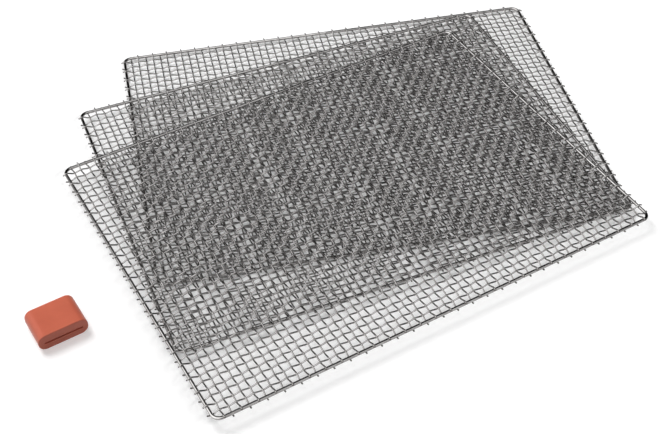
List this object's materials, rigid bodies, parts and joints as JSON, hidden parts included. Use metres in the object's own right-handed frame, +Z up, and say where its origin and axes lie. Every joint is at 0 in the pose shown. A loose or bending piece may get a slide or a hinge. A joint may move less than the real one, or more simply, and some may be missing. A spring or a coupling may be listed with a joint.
{
  "type": "oven dehydrating rack set",
  "caption": "Stack of fanned woven wire drying racks with rod-edged mesh, and a slotted silicone wedge that props an oven door ajar.",
  "frame": {"origin": "centre of the bottom rack, on the surface that the kit lies on", "axes": "+X along the bottom rack's long side to the right, +Y to the back, +Z up"},
  "size_m": [0.5883, 0.5099, 0.0176],
  "materials": {
    "frame_rod": "bright steel rod",
    "long_wire": "drawn stainless wire",
    "cross_wire": "drawn stainless wire",
    "silicone": "satin terracotta silicone"
  },
  "bodies": {
    "bottom_rack": {"bottom_rack_frame_rod": "frame_rod", "bottom_rack_long_over_front": "long_wire", "bottom_rack_long_under_front": "long_wire", "bottom_rack_long_over_back": "long_wire", "bottom_rack_long_under_back": "long_wire", "bottom_rack_cross_over_left": "cross_wire", "bottom_rack_cross_under_left": "cross_wire", "bottom_rack_cross_over_right": "cross_wire", "bottom_rack_cross_under_right": "cross_wire"},
    "middle_rack": {"middle_rack_frame_rod": "frame_rod", "middle_rack_long_over_front": "long_wire", "middle_rack_long_under_front": "long_wire", "middle_rack_long_over_back": "long_wire", "middle_rack_long_under_back": "long_wire", "middle_rack_cross_over_left": "cross_wire", "middle_rack_cross_under_left": "cross_wire", "middle_rack_cross_over_right": "cross_wire", "middle_rack_cross_under_right": "cross_wire"},
    "top_rack": {"top_rack_frame_rod": "frame_rod", "top_rack_long_over_front": "long_wire", "top_rack_long_under_front": "long_wire", "top_rack_long_over_back": "long_wire", "top_rack_long_under_back": "long_wire", "top_rack_cross_over_left": "cross_wire", "top_rack_cross_under_left": "cross_wire", "top_rack_cross_over_right": "cross_wire", "top_rack_cross_under_right": "cross_wire"},
    "door_wedge": {"door_wedge": "silicone"}
  },
  "joints": [
    {"name": "middle_rack_lift", "type": "slide", "parent": "bottom_rack", "child": "middle_rack", "axis": [0, 0, 1], "range_m": [0, 0.08]},
    {"name": "top_rack_lift", "type": "slide", "parent": "middle_rack", "child": "top_rack", "axis": [0, 0, 1], "range_m": [0, 0.08]},
    {"name": "wedge_lift", "type": "slide", "parent": "bottom_rack", "child": "door_wedge", "axis": [0, 0, 1], "range_m": [0, 0.06]}
  ]
}
